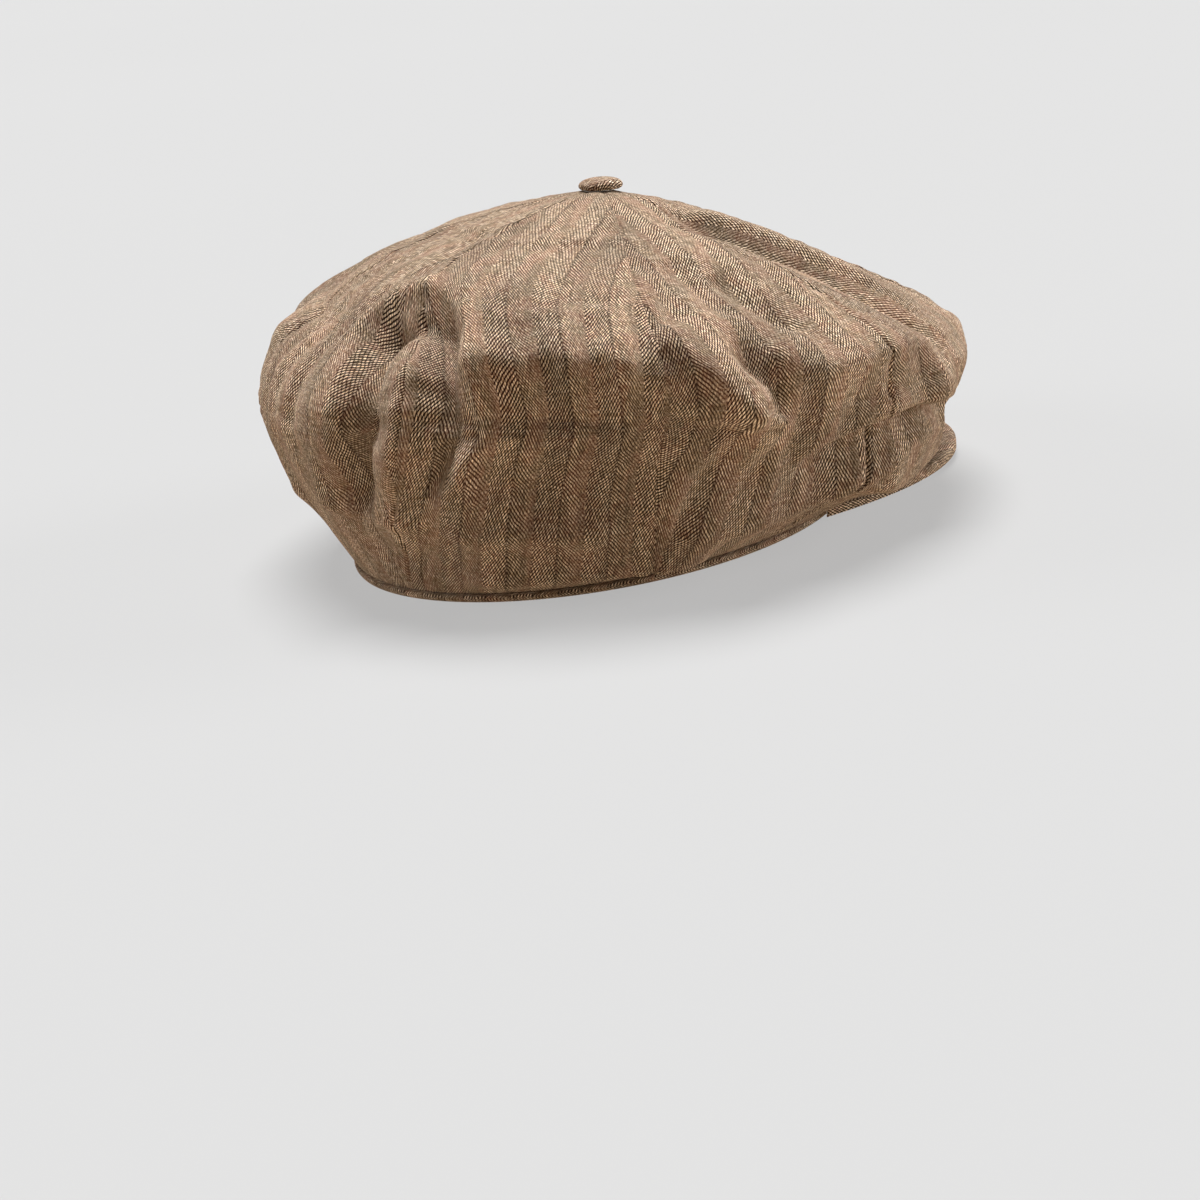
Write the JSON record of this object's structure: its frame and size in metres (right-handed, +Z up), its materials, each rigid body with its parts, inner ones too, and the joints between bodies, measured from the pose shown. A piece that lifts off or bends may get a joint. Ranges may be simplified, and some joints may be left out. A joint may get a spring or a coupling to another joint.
{
  "type": "newsboy cap",
  "caption": "Full-crowned cloth cap of sewn wedge panels with a covered top button, a lined head opening and a short stiff peak.",
  "frame": {"origin": "bottom centre of the cap's overall box, in the plane of the hem's lower edge; the centre of the oval head opening lies 14.5 mm behind it (+Y)", "axes": "+Z up to the button, -Y to the front where the peak points, +X to the wearer's left side"},
  "size_m": [0.264, 0.2793, 0.1298],
  "materials": {
    "tweed": "matt wool herringbone in dark brown and warm beige",
    "lining": "smooth dark brown satin",
    "sweatband": "dark brown cotton twill tape",
    "stiffener": "stiff undyed canvas",
    "board": "flexible sheet plastic, hidden inside the peak",
    "button_metal": "plain pressed metal, hidden under the button's cloth"
  },
  "bodies": {
    "crown": {"crown_panel_front": "tweed", "crown_panel_front_left": "tweed", "crown_panel_left": "tweed", "crown_panel_back_left": "tweed", "crown_panel_back": "tweed", "crown_panel_back_right": "tweed", "crown_panel_right": "tweed", "crown_panel_front_right": "tweed", "lining_panel_front": "lining", "lining_panel_front_left": "lining", "lining_panel_left": "lining", "lining_panel_back_left": "lining", "lining_panel_back": "lining", "lining_panel_back_right": "lining", "lining_panel_right": "lining", "lining_panel_front_right": "lining", "hem_binding": "tweed", "headband_stiffener": "stiffener", "sweatband": "sweatband", "button_cover": "tweed", "button_dome": "button_metal", "button_back": "button_metal", "button_washer": "button_metal"},
    "peak": {"peak_board": "board", "peak_top_cover": "tweed", "peak_under_cover": "tweed"}
  },
  "joints": [
    {"name": "peak_flex", "type": "hinge", "parent": "crown", "child": "peak", "pos_m": [0, -0.0375, 0.0027], "axis": [1, 0, 0], "range_deg": [0, 12], "stiffness_Nm_per_rad": 0.3}
  ]
}
